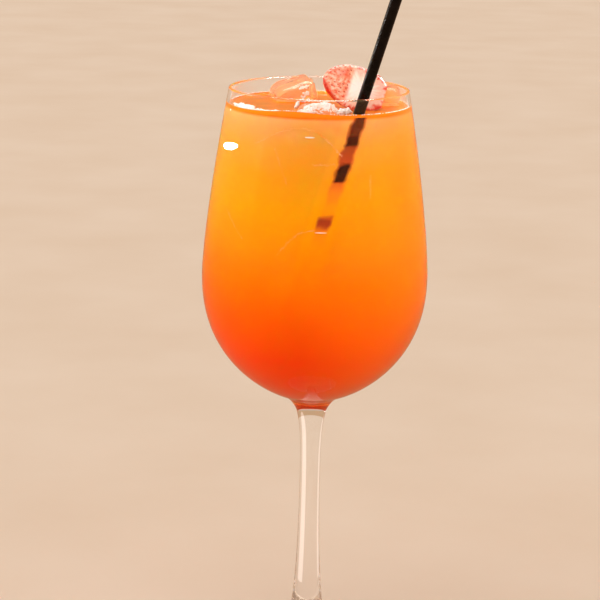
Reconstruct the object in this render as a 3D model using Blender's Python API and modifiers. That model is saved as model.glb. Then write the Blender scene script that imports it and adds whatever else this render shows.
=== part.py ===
"""A fruit cocktail in a tall stemmed glass, with a straw, ice cubes and half a strawberry.

Metres, +Z up. The origin is the centre of the foot's flat underside. The straw and the
strawberry's cut face are on the -Y side, which is the front.
"""

import math
import random

import bmesh
import bpy
from mathutils import Matrix, Vector
from mathutils.geometry import interpolate_bezier

# The bowl, outside. Depths are measured down from the rim.
GLASS_HEIGHT = 0.236
RIM_RADIUS = 0.0352
BOWL_RADIUS = 0.045
WIDEST_DEPTH = 0.0739
BOWL_DEPTH = 0.1268
SHOULDER_POWER = 1.37
BELLY_POWER = 2.30
BELLY_ROUNDNESS = 1.72

# The wall is thin up to the rim and thickens into the bottom of the bowl.
WALL = 0.0011
BASE_THICKNESS = 0.0034
THICKENING_POWER = 8

# The drawn stem flares out at both ends.
STEM_RADIUS = 0.0039
STEM_TOP = 0.105
STEM_TOP_FLARE = 0.0021
STEM_TOP_REACH = 0.0075
STEM_FOOT = 0.024
STEM_FOOT_FLARE = 0.0022
STEM_FOOT_REACH = 0.020
BOWL_MEETS_STEM_RADIUS = 0.012
BOWL_HANDLE = Vector((-0.0035, -0.0012))
NECK_HANDLE = Vector((0.0012, 0.0030))

FOOT_RADIUS = 0.040
FOOT_EDGE_HEIGHT = 0.0020
FOOT_SLOPE_RADIUS = 0.028
FOOT_SLOPE_HEIGHT = 0.0033
STEM_HANDLE = Vector((0.0014, -0.0132))
SLOPE_HANDLE = Vector((-0.0162, 0.0016))

# The drink stands a little below the rim. The gap keeps touching pieces apart.
DRINK_LEVEL = 0.2293
GAP = 0.0003

# The straw leans on the rim, with its lower end against the far side of the bowl.
STRAW_LENGTH = 0.210
STRAW_RADIUS = 0.0021
STRAW_WALL = 0.00025
STRAW_AT_RIM = Vector((0.01665, -0.02668, GLASS_HEIGHT))
STRAW_LEAN = math.radians(26.8)
STRAW_TIP_HEIGHT = 0.124

# The strawberry is cut in half lengthwise, and its leafy end is sliced off.
BERRY_LENGTH = 0.029
BERRY_WIDTH = 0.0210
BERRY_THICKNESS = 0.0085
BERRY_TAPER = 0.20
BERRY_HULL_CUT = 0.47
BERRY_CENTRE = Vector((0.0154, -0.0100, 0.2365))
BERRY_FACING = Vector((0.10, -0.75, 0.65)).normalized()
BERRY_TIP_DROP = math.radians(-20)

# Each ice cube that stands out of the drink: centre, edge lengths and turns in degrees.
ICE_CUBES = {
    "ice_cube_back": ((-0.0103, 0.0120, 0.2302), (0.0185, 0.0180, 0.0180), (7, -4, 18)),
    "ice_cube_front": ((-0.0005, -0.0215, 0.2245), (0.0170, 0.0165, 0.0160), (-5, 6, -16)),
    "ice_cube_side": ((0.0256, 0.0045, 0.2303), (0.0140, 0.0140, 0.0138), (5, 7, -5)),
}
ICE_ROUNDING = 0.0030
ICE_MELT = 0.0007
ICE_TOP_SHARE = 0.84

# How finely the round pieces are divided: rows down the bowl and stem, steps round them.
UPPER_ROWS = 7
LOWER_ROWS = 11
STEM_ROWS = 7
NECK_ROWS = 3
FLARE_ROWS = 5
TURN_STEPS = 48
STRAW_STEPS = 20


def clear_scene():
    for obj in list(bpy.data.objects):
        bpy.data.objects.remove(obj, do_unlink=True)


def new_collection(name):
    collection = bpy.data.collections.new(name)
    bpy.context.scene.collection.children.link(collection)
    return collection


def new_material(name, color, roughness, transmission=0.0, ior=1.45):
    material = bpy.data.materials.new(name)
    material.use_nodes = True
    shader = material.node_tree.nodes["Principled BSDF"]
    shader.inputs["Base Color"].default_value = (*color, 1.0)
    shader.inputs["Roughness"].default_value = roughness
    shader.inputs["Metallic"].default_value = 0.0
    shader.inputs["Transmission Weight"].default_value = transmission
    shader.inputs["IOR"].default_value = ior
    material.diffuse_color = (*color, 1.0)
    return material


def add_object(name, mesh, collection, material=None):
    obj = bpy.data.objects.new(name, mesh)
    collection.objects.link(obj)
    if material:
        mesh.materials.append(material)
    return obj


def turned(name, profile, steps, closed, collection, material=None):
    """A profile of (radius, height) points, run down its outer side, turned about Z."""
    count = len(profile)
    edges = [(i, i + 1) for i in range(count - 1)]
    if closed:
        edges.append((count - 1, 0))
    mesh = bpy.data.meshes.new(name)
    mesh.from_pydata([(radius, 0.0, height) for radius, height in profile], edges, [])
    obj = add_object(name, mesh, collection, material)
    screw = obj.modifiers.new("Turn", "SCREW")
    screw.steps = steps
    screw.render_steps = steps
    screw.use_merge_vertices = True
    screw.merge_threshold = 0.00001
    screw.use_smooth_shade = True
    return obj


def bowl_outside(upper_rows, lower_rows):
    """Points down the outside of the bowl, from the rim to the axis."""
    points = []
    for row in range(upper_rows):
        rise = 1 - row / upper_rows
        radius = BOWL_RADIUS - (BOWL_RADIUS - RIM_RADIUS) * rise**SHOULDER_POWER
        points.append(Vector((radius, GLASS_HEIGHT - WIDEST_DEPTH * (1 - rise))))
    for row in range(lower_rows):
        turn = math.radians(90) * row / lower_rows
        fall = math.sin(turn) ** (2 / BELLY_POWER)
        radius = BOWL_RADIUS * math.cos(turn) ** (2 / BELLY_ROUNDNESS)
        depth = WIDEST_DEPTH + (BOWL_DEPTH - WIDEST_DEPTH) * fall
        points.append(Vector((radius, GLASS_HEIGHT - depth)))
    points.append(Vector((0.0, GLASS_HEIGHT - BOWL_DEPTH)))
    return points


def bowl_inside(upper_rows, lower_rows, clearance=0.0):
    """The same rows moved in by the wall's thickness, and by a clearance for the drink."""
    outside = bowl_outside(upper_rows, lower_rows)
    points = []
    for row, point in enumerate(outside):
        above = outside[max(row - 1, 0)]
        below = outside[min(row + 1, len(outside) - 1)]
        down = (below - above).normalized()
        depth = (GLASS_HEIGHT - point.y) / BOWL_DEPTH
        thickness = WALL + (BASE_THICKNESS - WALL) * depth**THICKENING_POWER
        points.append(point + Vector((down.y, -down.x)) * (thickness + clearance))
    points[-1].x = 0.0
    return points


def arc(centre, radius, angles):
    """Points on a circle in the profile's plane, at angles in degrees."""
    turns = [math.radians(angle) for angle in angles]
    return [centre + Vector((math.cos(turn), math.sin(turn))) * radius for turn in turns]


def bezier(start, start_handle, end_handle, end, rows):
    """Points of a smooth curve between two points, without its ends."""
    flat = [Vector((p[0], p[1], 0.0)) for p in (start, start_handle, end_handle, end)]
    return [Vector((p.x, p.y)) for p in interpolate_bezier(*flat, rows + 2)][1:-1]


def stem_radius(height):
    top_flare = STEM_TOP_FLARE * math.exp((height - STEM_TOP) / STEM_TOP_REACH)
    foot_flare = STEM_FOOT_FLARE * math.exp((STEM_FOOT - height) / STEM_FOOT_REACH)
    return STEM_RADIUS + top_flare + foot_flare


def stem_and_foot(bowl_end, rows):
    """Points from the underside of the bowl down the stem and over the foot to the axis."""
    stem = []
    for row in range(rows + 1):
        height = STEM_TOP + (STEM_FOOT - STEM_TOP) * row / rows
        stem.append(Vector((stem_radius(height), height)))
    neck_handle = stem[0] + NECK_HANDLE
    bowl_handle = bowl_end + BOWL_HANDLE
    neck = bezier(bowl_end, bowl_handle, neck_handle, stem[0], NECK_ROWS)
    slope = Vector((FOOT_SLOPE_RADIUS, FOOT_SLOPE_HEIGHT))
    stem_handle = stem[-1] + STEM_HANDLE
    slope_handle = slope + SLOPE_HANDLE
    flare = bezier(stem[-1], stem_handle, slope_handle, slope, FLARE_ROWS)
    half = FOOT_EDGE_HEIGHT / 2
    edge_centre = Vector((FOOT_RADIUS - half, half))
    edge = arc(edge_centre, half, (90, 45, 0, -45, -90))
    return neck + stem + flare + [slope] + edge + [Vector((0.0, 0.0))]


def rim_arc():
    """The rounded lip, from its inner to its outer side."""
    half = WALL / 2
    return arc(Vector((RIM_RADIUS - half, GLASS_HEIGHT - half)), half, (150, 90, 30))


def glass(collection, material):
    outside = bowl_outside(UPPER_ROWS, LOWER_ROWS)[1:]
    outside = [point for point in outside if point.x > BOWL_MEETS_STEM_RADIUS]
    inside = bowl_inside(UPPER_ROWS, LOWER_ROWS)[1:]
    profile = inside[::-1] + rim_arc() + outside + stem_and_foot(outside[-1], STEM_ROWS)
    return turned("glass", profile, TURN_STEPS, False, collection, material)


def drink_profile():
    """From the middle of the surface out to the wall, then down along it to the bottom."""
    wall = bowl_inside(UPPER_ROWS, LOWER_ROWS, GAP)
    share = (wall[0].y - DRINK_LEVEL) / (wall[0].y - wall[1].y)
    contact = wall[0].lerp(wall[1], share)
    return [Vector((0.0, DRINK_LEVEL)), contact] + wall[1:]


def straw_frame():
    """Local +Z runs up the straw from the middle of its lower end."""
    heading = math.atan2(STRAW_AT_RIM.y, STRAW_AT_RIM.x)
    run = math.sin(STRAW_LEAN)
    along = Vector((run * math.cos(heading), run * math.sin(heading), math.cos(STRAW_LEAN)))
    tip = STRAW_AT_RIM - along * (GLASS_HEIGHT - STRAW_TIP_HEIGHT) / along.z
    return Matrix.Translation(tip) @ along.to_track_quat("Z", "Y").to_matrix().to_4x4()


def straw(collection, material):
    inner = STRAW_RADIUS - STRAW_WALL
    profile = [(inner, 0.0), (inner, STRAW_LENGTH), (STRAW_RADIUS, STRAW_LENGTH), (STRAW_RADIUS, 0.0)]
    obj = turned("straw", profile, STRAW_STEPS, True, collection, material)
    obj.matrix_world = straw_frame()
    return obj


def straw_cutter(collection):
    """A closed rod that leaves the gap round the straw, and ends above the drink."""
    radius = STRAW_RADIUS + GAP
    top = (GLASS_HEIGHT - STRAW_TIP_HEIGHT) / math.cos(STRAW_LEAN)
    profile = [(0.0, top), (radius, top), (radius, -GAP), (0.0, -GAP)]
    obj = turned("straw_cutter", profile, STRAW_STEPS, False, collection)
    obj.matrix_world = straw_frame()
    return obj


def berry_frame():
    """Local +X runs to the tip, and local +Z stands on the cut face."""
    across = Vector((1.0, 0.0, 0.0))
    right = (across - BERRY_FACING * across.dot(BERRY_FACING)).normalized()
    upward = BERRY_FACING.cross(right)
    tip_way = right * math.cos(BERRY_TIP_DROP) + upward * math.sin(BERRY_TIP_DROP)
    side_way = BERRY_FACING.cross(tip_way)
    turn = Matrix((tip_way, side_way, BERRY_FACING)).transposed()
    return Matrix.Translation(BERRY_CENTRE) @ turn.to_4x4()


def berry_half(name, collection, material=None, grow=0.0):
    """An egg shape that narrows to its tip, cut through the middle and across the top."""
    shape = bmesh.new()
    bmesh.ops.create_uvsphere(shape, u_segments=20, v_segments=12, radius=1.0)
    bmesh.ops.rotate(shape, verts=shape.verts, matrix=Matrix.Rotation(math.radians(90), 3, "Y"))
    half = Vector((BERRY_LENGTH / 2, BERRY_WIDTH / 2, BERRY_THICKNESS)) + Vector((grow,) * 3)
    for vert in shape.verts:
        narrowing = 1 - BERRY_TAPER * vert.co.x
        vert.co.y *= narrowing
        vert.co.z *= narrowing
        vert.co = vert.co * half
    cuts = (
        (Vector((0.0, 0.0, grow)), Vector((0.0, 0.0, 1.0))),
        (Vector((-BERRY_HULL_CUT * BERRY_LENGTH - grow, 0.0, 0.0)), Vector((-1.0, 0.0, 0.0))),
    )
    for point, outward in cuts:
        everything = shape.verts[:] + shape.edges[:] + shape.faces[:]
        made = bmesh.ops.bisect_plane(
            shape, geom=everything, plane_co=point, plane_no=outward, clear_outer=True
        )
        rim = [item for item in made["geom_cut"] if isinstance(item, bmesh.types.BMEdge)]
        bmesh.ops.contextual_create(shape, geom=rim)
    bmesh.ops.recalc_face_normals(shape, faces=shape.faces)
    mesh = bpy.data.meshes.new(name)
    shape.to_mesh(mesh)
    shape.free()
    mesh.shade_smooth()
    mesh.set_sharp_from_angle(angle=math.radians(40))
    obj = add_object(name, mesh, collection, material)
    obj.matrix_world = berry_frame()
    return obj


def ice_cube(name, centre, edges, turns, collection, material=None, grow=0.0):
    """A block with melted edges, no two of its corners alike."""
    draws = random.Random(centre[0] * 1000)
    shape = bmesh.new()
    bmesh.ops.create_cube(shape, size=1.0)
    for vert in shape.verts:
        melt = Vector([draws.uniform(-ICE_MELT, ICE_MELT) for _ in range(3)])
        if vert.co.z > 0:
            vert.co.xy *= ICE_TOP_SHARE
        vert.co = Vector([c * (edge + 2 * grow) for c, edge in zip(vert.co, edges)]) + melt
    mesh = bpy.data.meshes.new(name)
    shape.to_mesh(mesh)
    shape.free()
    mesh.shade_smooth()
    obj = add_object(name, mesh, collection, material)
    obj.location = centre
    obj.rotation_euler = [math.radians(turn) for turn in turns]
    bevel = obj.modifiers.new("Melted edges", "BEVEL")
    bevel.width = ICE_ROUNDING
    bevel.segments = 3
    bevel.limit_method = "NONE"
    return obj


def cut_from(obj, cutters):
    for cutter in cutters:
        cutter.hide_render = True
        cutter.display_type = "WIRE"
        cut = obj.modifiers.new("Round " + cutter.name, "BOOLEAN")
        cut.operation = "DIFFERENCE"
        cut.solver = "EXACT"
        cut.object = cutter


def main():
    clear_scene()
    parts = new_collection("cocktail")
    cutters = new_collection("cutters")
    clear_glass = new_material("clear glass", (0.95, 0.97, 0.97), 0.02, 1.0, 1.5)
    fruit_drink = new_material("fruit drink", (1.0, 0.28, 0.02), 0.08)
    black_plastic = new_material("black plastic", (0.012, 0.010, 0.010), 0.22)
    strawberry_flesh = new_material("strawberry flesh", (0.90, 0.24, 0.18), 0.35)
    clear_ice = new_material("clear ice", (0.98, 0.94, 0.90), 0.06, 1.0, 1.31)

    glass(parts, clear_glass)
    straw(parts, black_plastic)
    berry_half("strawberry_half", parts, strawberry_flesh)
    for name, placing in ICE_CUBES.items():
        ice_cube(name, *placing, parts, clear_ice)

    drink = turned("drink", drink_profile(), TURN_STEPS, False, parts, fruit_drink)
    pockets = [straw_cutter(cutters), berry_half("berry_cutter", cutters, grow=GAP)]
    for name, placing in ICE_CUBES.items():
        pockets.append(ice_cube(name + "_cutter", *placing, cutters, grow=GAP))
    cut_from(drink, pockets)


main()
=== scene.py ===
# %% [markdown]
# A fruit cocktail in a tall stemmed glass, with a black straw, ice and half a strawberry.
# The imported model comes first: it fixes every size and place, and nothing here moves it.
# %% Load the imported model
import math
import random

import bpy
import numpy
from mathutils import Matrix, Vector, noise
from mathutils.bvhtree import BVHTree
from mathutils.kdtree import KDTree


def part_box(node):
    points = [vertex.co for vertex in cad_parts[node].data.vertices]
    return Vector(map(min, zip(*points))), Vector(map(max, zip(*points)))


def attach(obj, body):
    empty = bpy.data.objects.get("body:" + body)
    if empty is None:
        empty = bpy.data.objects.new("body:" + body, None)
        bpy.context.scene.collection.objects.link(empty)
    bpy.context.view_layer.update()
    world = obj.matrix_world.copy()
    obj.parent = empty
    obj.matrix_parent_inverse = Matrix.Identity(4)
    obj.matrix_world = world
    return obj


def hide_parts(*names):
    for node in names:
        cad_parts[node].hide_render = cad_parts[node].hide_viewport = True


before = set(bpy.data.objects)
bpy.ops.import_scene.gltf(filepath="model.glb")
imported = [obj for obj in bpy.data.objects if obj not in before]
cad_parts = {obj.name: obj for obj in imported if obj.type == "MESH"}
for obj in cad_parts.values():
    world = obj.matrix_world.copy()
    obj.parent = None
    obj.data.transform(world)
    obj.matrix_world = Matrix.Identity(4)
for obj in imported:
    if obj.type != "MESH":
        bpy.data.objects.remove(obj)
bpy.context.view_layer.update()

bpy.ops.object.select_all(action="DESELECT")
MM = 0.001

# %% [markdown]
# The camera stands where the photograph was taken from: about three quarters of a metre in
# front and ten centimetres above the rim, looking down by some 14 degrees through a long
# lens. Its small roll keeps the picture tilted as it was taken. Light is followed through
# more bounces than usual, because it runs along inside the glass's rim.
# %% Camera
CAMERA_PLACE = Vector((-0.00562, -0.7784, 0.3403))
CAMERA_PITCH = 13.70
CAMERA_ROLL = 1.30
CAMERA_LENS = 120
CAMERA_SENSOR = 36

tilt = Matrix.Rotation(math.radians(90 - CAMERA_PITCH), 4, "X")
roll = Matrix.Rotation(math.radians(CAMERA_ROLL), 4, "Z")
bpy.ops.object.camera_add()
camera = bpy.context.active_object
camera.matrix_world = Matrix.Translation(CAMERA_PLACE) @ tilt @ roll
camera.data.lens = CAMERA_LENS
camera.data.sensor_width = CAMERA_SENSOR
bpy.context.scene.camera = camera
bpy.context.scene.view_settings.view_transform = "Standard"
bpy.context.scene.cycles.use_denoising = True
bpy.context.scene.cycles.max_bounces = 20
bpy.context.scene.cycles.glossy_bounces = 16
bpy.context.scene.cycles.transmission_bounces = 16
print("camera at", tuple(round(c, 3) for c in camera.location))

# %% [markdown]
# Helpers for finishes. Colours are picked as sRGB hex values, the way a picture shows them,
# and the shaders count in linear light, so one function turns the first into the second.
# Another adds a node with its settings. Each input gets a value, a hex colour, or the node
# or socket that feeds it; a node feeds it from the first output that it has in use. The
# plainest finishes, a shader with a faintly mottled colour, share a third.
# %% Colour and node helpers
def linear(hex_colour):
    """Linear red, green, blue and alpha of an sRGB hex colour."""
    channels = [int(hex_colour[start:start + 2], 16) / 255 for start in (1, 3, 5)]
    bent = [c / 12.92 if c <= 0.04045 else ((c + 0.055) / 1.055) ** 2.4 for c in channels]
    return (*bent, 1.0)


def node(tree, kind, inputs=None, stops=None, **settings):
    """Adds a node and fills its inputs. Stops, of a place and a colour, fill a colour ramp."""
    made = tree.nodes.new("ShaderNode" + kind)
    for name, value in settings.items():
        setattr(made, name, value)
    for name, value in (inputs or {}).items():
        if isinstance(value, bpy.types.Node):
            value = next(output for output in value.outputs if output.enabled)
        if isinstance(value, bpy.types.NodeSocket):
            tree.links.new(value, made.inputs[name])
        else:
            made.inputs[name].default_value = linear(value) if isinstance(value, str) else value
    if stops:
        for _ in stops[2:]:
            made.color_ramp.elements.new(0.5)
        for element, (position, colour) in zip(made.color_ramp.elements, stops):
            element.position = position
            element.color = linear(colour) if isinstance(colour, str) else colour
    return made


def new_finish(name):
    """An empty material and its node tree."""
    material = bpy.data.materials.new(name)
    material.use_nodes = True
    material.node_tree.nodes.clear()
    return material, material.node_tree


def speckled_finish(name, grain, stops, body):
    """A finish in one colour with a fine noise in it."""
    material, tree = new_finish(name)
    place = node(tree, "TexCoord").outputs["Object"]
    speckle = node(tree, "TexNoise", {"Vector": place, **grain})
    tone = node(tree, "ValToRGB", {"Fac": speckle}, stops=stops)
    shader = node(tree, "BsdfPrincipled", {"Base Color": tone, **body})
    node(tree, "OutputMaterial", {"Surface": shader})
    return material


# %% [markdown]
# The floor is a plain pale sheet of matt paper, wide enough to fill the picture, because
# the camera looks down on it everywhere. It has only the faint mottling of its fibres.
# %% Floor
FLOOR_SIDE = 24.0
FIBRES = {"Scale": 9.0, "Detail": 6.0}
PAPER_TONES = [(0.3, "#E3CFBB"), (0.7, "#E8D6C4")]
PAPER_BODY = {"Roughness": 0.9, "Specular IOR Level": 0.1}

bpy.ops.mesh.primitive_plane_add(size=FLOOR_SIDE)
floor = bpy.context.active_object
floor.name = "floor"
floor.data.materials.append(speckled_finish("matt_paper", FIBRES, PAPER_TONES, PAPER_BODY))
print("floor of", FLOOR_SIDE, "m")

# %% [markdown]
# The light is soft daylight in a pale room. The room's own brightness and a broad sky light
# the floor evenly, and dim fills round the glass, which leave no reflection and skip the
# floor, shape the juice. Other lamps do the opposite: they light nothing, and are only
# there for wet and polished edges to mirror. One is a wide panel overhead, and one a low
# slot at the left, which the bowl squeezes sideways into the small white oval near its left
# edge. Two narrow upright ones behind the stem are only seen through it, as its two pale
# streaks. Glossy surfaces don't see the floor, whose glare would wash out the bowl's sides.
# %% Light
LAMPS = {
    # name: place, what it points at, width and height in metres, watts, colour
    "left_window": ((-1.45, 0.25, 0.40), (0, 0, 0.17), (0.9, 0.6), 9.0, "#FFF6EA"),
    "right_window": ((1.45, -0.20, 0.22), (0, 0, 0.15), (0.9, 0.5), 7.0, "#FFF4E6"),
    "front_fill": ((-0.45, -1.60, 0.20), (0, 0, 0.15), (1.2, 0.6), 14.0, "#FFF7EE"),
    "back_fill": ((0.30, 1.70, 0.40), (0, 0, 0.17), (1.2, 0.6), 6.0, "#FFF7EE"),
}
GLINTS = {
    "overhead": ((0.10, 0.45, 1.50), (0, 0, 0.15), (1.4, 1.0), 40.0, "#FFF8F2"),
    "right_sky": ((0.90, 0.15, 1.60), (0, 0, 0.23), (0.5, 0.5), 30.0, "#FFFFFF"),
}
STREAKS = {
    "stem_streak_left": ((0.0272, 0.0535, 0.038), (0, 0, 0.038), (0.026, 0.15), 0.0026, "#FFF6F0"),
    "stem_streak_right": ((-0.0473, 0.0369, 0.038), (0, 0, 0.038), (0.026, 0.15), 0.0024, "#FFF6F0"),
}
DAYLIGHT_WAY = Vector((-0.45, 0.10, 1.25))
DAYLIGHT_STRENGTH = 1.2
DAYLIGHT_ANGLE = 70
OVAL_LEFT_END = Vector((-0.3674, 0.0710, 0.2260))
OVAL_RIGHT_END = Vector((-0.2655, 0.2505, 0.1953))
OVAL_LAMP_HEIGHT = 0.0052
OVAL_WATTS = 0.25

not_on_the_floor = bpy.data.collections.new("lit_by_the_fills")
not_on_the_floor.objects.link(floor)
not_on_the_floor.collection_objects[0].light_linking.link_state = "EXCLUDE"
floor.visible_glossy = False


def add_lamp(name, place, target, size, watts, colour, mirrored):
    """A lamp that is either only mirrored, or only lights."""
    bpy.ops.object.light_add(type="AREA", location=place)
    lamp = bpy.context.active_object
    lamp.name = name
    aim = Vector(target) - Vector(place)
    lamp.rotation_euler = aim.to_track_quat("-Z", "Y").to_euler()
    lamp.data.shape = "ELLIPSE"
    lamp.data.size, lamp.data.size_y = size
    lamp.data.energy = watts
    lamp.data.color = linear(colour)[:3]
    lamp.visible_diffuse = not mirrored
    lamp.visible_glossy = mirrored
    lamp.visible_transmission = mirrored
    lamp.visible_camera = False
    lamp.light_linking.receiver_collection = not_on_the_floor
    return lamp


for lamp_name, facts in LAMPS.items():
    add_lamp(lamp_name, *facts, mirrored=False)
for lamp_name, facts in GLINTS.items():
    add_lamp(lamp_name, *facts, mirrored=True)
for lamp_name, facts in STREAKS.items():
    add_lamp(lamp_name, *facts, mirrored=True).visible_glossy = False

middle = (OVAL_LEFT_END + OVAL_RIGHT_END) / 2
level_with_it = Vector((0, 0, middle.z))
along = OVAL_RIGHT_END - OVAL_LEFT_END
oval_size = (along.length, OVAL_LAMP_HEIGHT)
oval_lamp = add_lamp("slot", middle, level_with_it, oval_size, OVAL_WATTS, "#FFFFFF", mirrored=True)
facing = (middle - level_with_it).normalized()
upright = facing.cross(along).normalized()
oval_turn = Matrix((upright.cross(facing), upright, facing)).transposed().to_4x4()
oval_lamp.matrix_world = Matrix.Translation(middle) @ oval_turn

bpy.ops.object.light_add(type="SUN")
daylight = bpy.context.active_object
daylight.name = "daylight"
daylight.rotation_euler = (-DAYLIGHT_WAY).to_track_quat("-Z", "Y").to_euler()
daylight.data.energy = DAYLIGHT_STRENGTH
daylight.data.angle = math.radians(DAYLIGHT_ANGLE)
daylight.visible_glossy = False
daylight.visible_transmission = False
print("lamps:", len(LAMPS) + len(GLINTS) + len(STREAKS) + 2)

# %% [markdown]
# The room is the world's colour: pale, warmer low on its walls and darker below, where the
# glass mirrors it. A direction's height runs from -1 to 1 and a colour ramp starts at 0, so
# the height is moved up a little first, to let the darker colour begin under the horizon.
# %% Room
ROOM_LIGHT = 0.70
HORIZON_ON_RAMP = 0.2
ROOM_COLOURS = [(0.08, "#DCA67C"), (0.14, "#E8BC92"), (0.50, "#E8BC92"), (0.70, "#F6EADD")]

room = bpy.data.worlds.new("pale_room")
room.use_nodes = True
tree = room.node_tree
tree.nodes.clear()
direction = node(tree, "TexCoord").outputs["Generated"]
upness = node(tree, "SeparateXYZ", {"Vector": direction}).outputs["Z"]
from_below = node(tree, "Math", {0: upness, 1: HORIZON_ON_RAMP}, operation="ADD")
walls = node(tree, "ValToRGB", {"Fac": from_below}, stops=ROOM_COLOURS)
glow = node(tree, "Background", {"Color": walls, "Strength": ROOM_LIGHT})
node(tree, "OutputWorld", {"Surface": glow})
bpy.context.scene.world = room
print("room of strength", ROOM_LIGHT)

# %% [markdown]
# A blown glass, its bowl and the juice in it are all turned shapes. Each starts as one
# circle of vertices, which is extruded from ring to ring in edit mode: lifted to the next
# height and scaled to the next radius. A number of sides that divides by four puts
# vertices on both axes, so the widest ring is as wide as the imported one.
# %% Modelling helpers
TURNED_SIDES = 160


def finish_piece(piece, name, node_name=None):
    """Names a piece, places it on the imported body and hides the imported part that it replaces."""
    piece.name = piece.data.name = name
    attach(piece, "root")
    if node_name:
        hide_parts(node_name)
    print(name, "has", len(piece.data.polygons), "faces")


def pick(piece):
    """Makes one object the only selected one, and the active one."""
    bpy.ops.object.select_all(action="DESELECT")
    piece.select_set(True)
    bpy.context.view_layer.objects.active = piece


def edit_all():
    """Edit mode with everything selected."""
    bpy.ops.object.mode_set(mode="EDIT")
    bpy.ops.mesh.select_all(action="SELECT")


def extrude_rings(rings, sides=TURNED_SIDES):
    """A circle extruded from one (radius, height) ring to the next. Both ends stay open."""
    radius, height = rings[0]
    bpy.ops.mesh.primitive_circle_add(vertices=sides, radius=radius, location=(0, 0, height))
    piece = bpy.context.active_object
    bpy.ops.object.transform_apply(location=True, rotation=True, scale=True)
    edit_all()
    bpy.ops.mesh.select_mode(type="VERT")
    for next_radius, next_height in rings[1:]:
        rise = {"value": (0, 0, next_height - height)}
        bpy.ops.mesh.extrude_region_move(TRANSFORM_OT_translate=rise)
        share = next_radius / radius
        bpy.ops.transform.resize(value=(share, share, 1.0), center_override=(0, 0, next_height))
        radius, height = next_radius, next_height
    bpy.ops.object.mode_set(mode="OBJECT")
    return piece


def close_and_turn_out(piece, merge=0.01 * MM):
    """Fills the open ends, merges doubles and points every face outwards."""
    edit_all()
    bpy.ops.mesh.remove_doubles(threshold=merge)
    bpy.ops.mesh.select_all(action="DESELECT")
    bpy.ops.mesh.select_mode(type="EDGE")
    bpy.ops.mesh.select_non_manifold()
    bpy.ops.mesh.fill_holes(sides=0)
    bpy.ops.mesh.select_mode(type="FACE")
    bpy.ops.mesh.select_all(action="SELECT")
    bpy.ops.mesh.normals_make_consistent(inside=False)
    bpy.ops.mesh.select_mode(type="VERT")
    bpy.ops.object.mode_set(mode="OBJECT")


def shade_round(piece, sharp_angle):
    """Smooth shading, but for edges sharper than an angle in degrees."""
    pick(piece)
    bpy.ops.object.shade_smooth_by_angle(angle=math.radians(sharp_angle))


def placed_copies(model, matrices, name):
    """A copy of the model, with its own mesh, for each matrix, joined into one piece."""
    copies = []
    for matrix in matrices:
        copy = model.copy()
        copy.data = model.data.copy()
        copy.data.transform(matrix)
        bpy.context.collection.objects.link(copy)
        copies.append(copy)
    bpy.data.objects.remove(model, do_unlink=True)
    bpy.ops.object.select_all(action="DESELECT")
    for copy in copies:
        copy.select_set(True)
    bpy.context.view_layer.objects.active = copies[0]
    bpy.ops.object.join()
    joined = bpy.context.active_object
    joined.data.name = name
    shade_round(joined, 80)
    return joined


# %% [markdown]
# The bowl's outline follows two curves that meet at its widest ring: above, the side
# leans in to the rim, and below it rounds into the bottom. Its rows crowd towards the rim,
# where smooth shading over a tall face would bend what is seen through the wall. The wall
# is about a millimetre and thickens at the bottom, as on a real blown bowl. Moving each
# point square to the outline gives the inside.
# %% The bowl's outline
GLASS_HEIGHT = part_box("glass")[1].z
BOWL_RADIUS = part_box("glass")[1].x
RIM_RADIUS = 0.0352
WIDEST_DEPTH = 0.0739
BOWL_DEPTH = 0.1268
SHOULDER_POWER = 1.37
BELLY_POWER = 2.30
BELLY_ROUNDNESS = 1.72
WALL = 0.0011
BASE_THICKNESS = 0.0034
THICKENING_POWER = 8
UPPER_ROWS = 34
ROWS_CROWD = 1.6
LOWER_ROWS = 44


def bowl_outline():
    """(radius, height) points down the outside of the bowl, from the rim to the axis."""
    points = []
    for row in range(UPPER_ROWS):
        rise = 1 - (row / UPPER_ROWS) ** ROWS_CROWD
        radius = BOWL_RADIUS - (BOWL_RADIUS - RIM_RADIUS) * rise**SHOULDER_POWER
        points.append(Vector((radius, GLASS_HEIGHT - WIDEST_DEPTH * (1 - rise))))
    for row in range(LOWER_ROWS):
        turn = math.radians(90) * row / LOWER_ROWS
        fall = math.sin(turn) ** (2 / BELLY_POWER)
        radius = BOWL_RADIUS * math.cos(turn) ** (2 / BELLY_ROUNDNESS)
        depth = WIDEST_DEPTH + (BOWL_DEPTH - WIDEST_DEPTH) * fall
        points.append(Vector((radius, GLASS_HEIGHT - depth)))
    points.append(Vector((0.0, GLASS_HEIGHT - BOWL_DEPTH)))
    return points


def inside_outline(clearance=0.0):
    """The bowl's inside, moved further in by a clearance, or into the wall by a negative one."""
    outside = bowl_outline()
    points = []
    for row, point in enumerate(outside):
        down = (outside[min(row + 1, len(outside) - 1)] - outside[max(row - 1, 0)]).normalized()
        depth = (GLASS_HEIGHT - point.y) / BOWL_DEPTH
        thickness = WALL + (BASE_THICKNESS - WALL) * depth**THICKENING_POWER
        points.append(point + Vector((down.y, -down.x)) * (thickness + clearance))
    points[-1].x = 0.0
    return points


def rings_below(outline, top):
    """The part of an outline below a height, starting with a point at that height."""
    kept = [point for point in outline if point.y < top]
    above = outline[len(outline) - len(kept) - 1]
    share = (above.y - top) / (above.y - kept[0].y)
    return [above.lerp(kept[0], share)] + kept


print("rim", round(2 * RIM_RADIUS / MM, 1), "mm, widest", round(2 * BOWL_RADIUS / MM, 1), "mm")

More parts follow.
